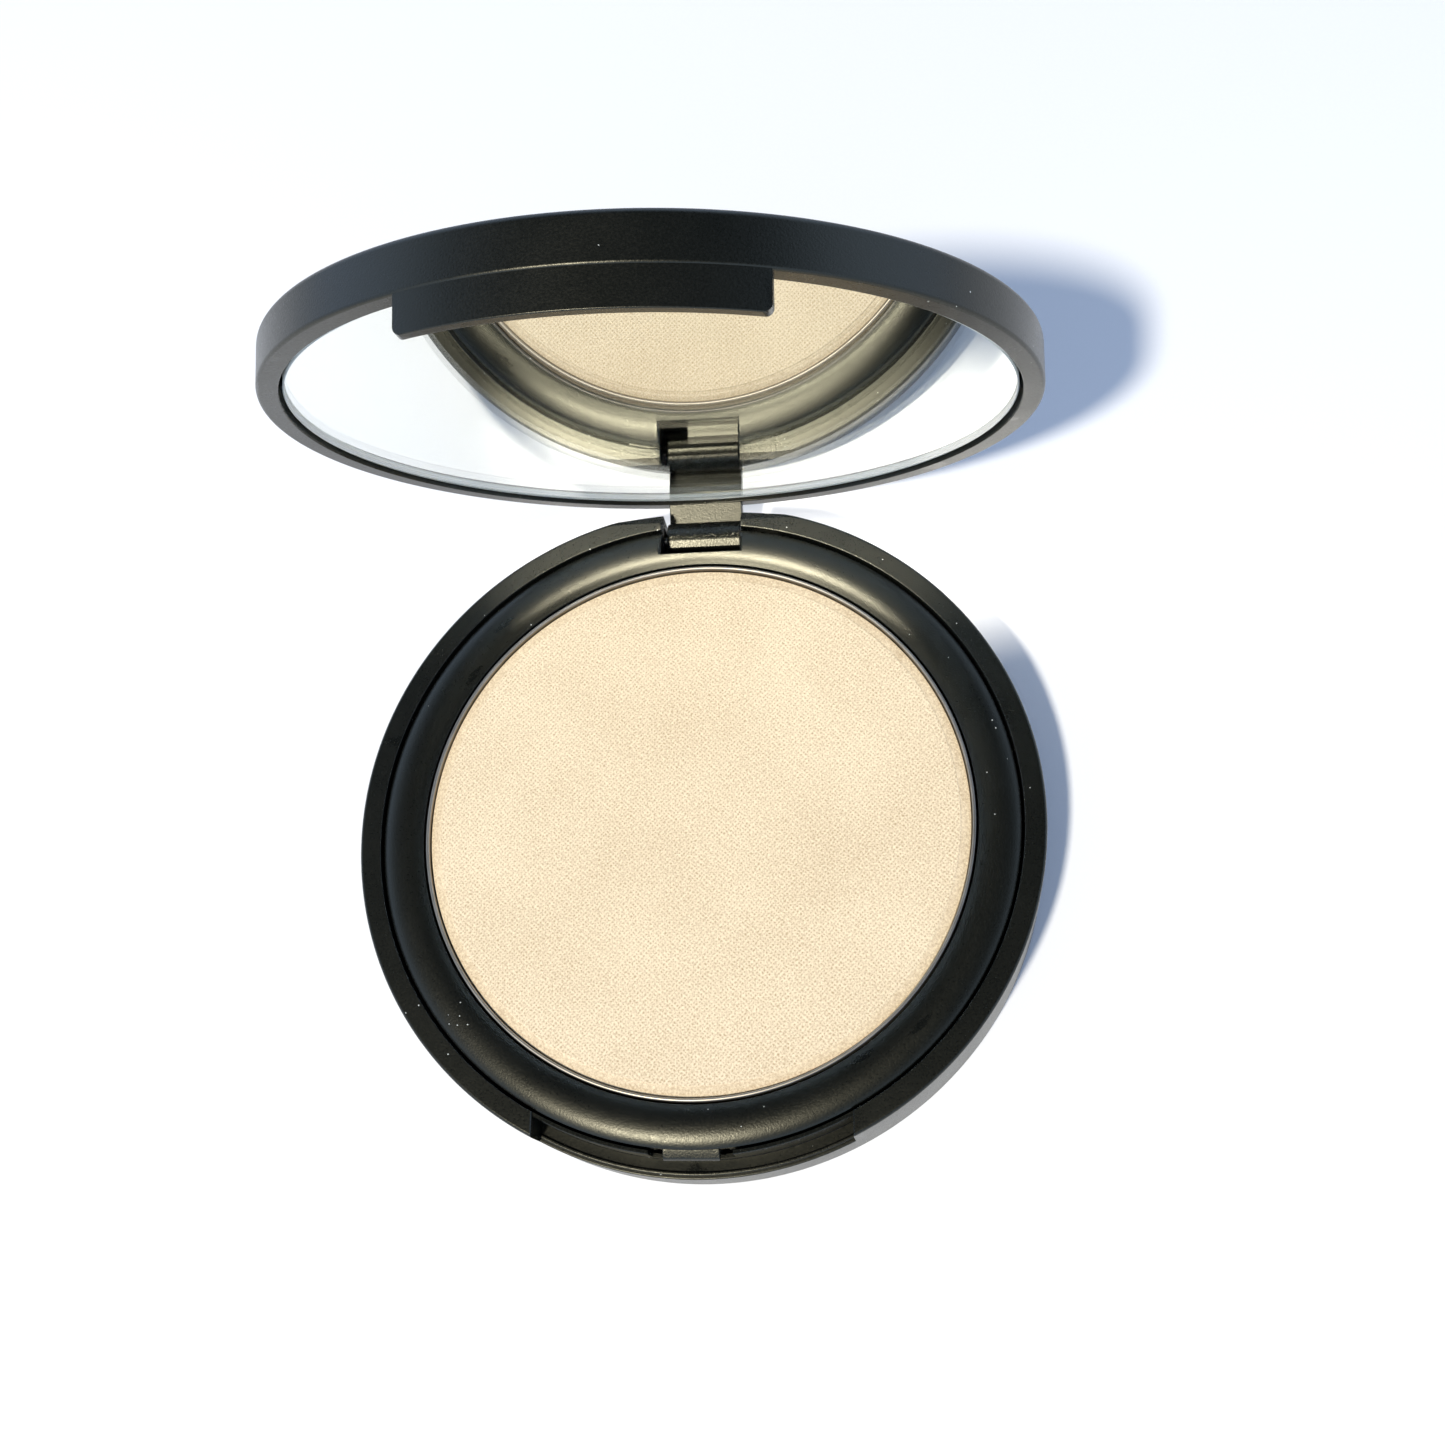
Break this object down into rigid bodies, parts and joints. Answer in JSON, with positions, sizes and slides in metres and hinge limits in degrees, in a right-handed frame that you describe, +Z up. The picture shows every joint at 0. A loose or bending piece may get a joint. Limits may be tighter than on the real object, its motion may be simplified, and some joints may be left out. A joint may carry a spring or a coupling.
{
  "type": "powder compact",
  "caption": "Round powder compact with a hinged lid that holds a glass mirror, a front finger recess and tab, and a pressed powder pan set in a rounded inner ring.",
  "frame": {"origin": "centre of the base's round underside, on the surface that the compact stands on", "axes": "+Z up, +Y from the finger recess at the front towards the hinge, +X along the hinge pin"},
  "size_m": [0.0734, 0.0803, 0.0778],
  "materials": {
    "base_plastic": "satin black moulded ABS",
    "tray_plastic": "satin black moulded ABS",
    "lid_plastic": "satin black moulded ABS",
    "pan_metal": "drawn, bright lip",
    "powder": "pressed powder, matt, fine cloth print",
    "hot_melt_glue": "cloudy set glue",
    "label_paper": "coated, blank",
    "pin_steel": "drawn wire",
    "mirror_glass": "silvered float glass, ground edge",
    "foam_tape": "white foam"
  },
  "bodies": {
    "base": {"base_shell": "base_plastic", "inner_tray": "tray_plastic", "powder_pan": "pan_metal", "pressed_powder": "powder", "pan_adhesive": "hot_melt_glue", "shade_label": "label_paper", "hinge_pin": "pin_steel"},
    "lid": {"lid_shell": "lid_plastic", "mirror_glass": "mirror_glass", "mirror_adhesive": "foam_tape"}
  },
  "joints": [
    {"name": "lid_hinge", "type": "hinge", "parent": "base", "child": "lid", "pos_m": [0, 0.0346, 0.0063], "axis": [-1, 0, 0], "range_deg": [-77.5, 19.5]}
  ]
}
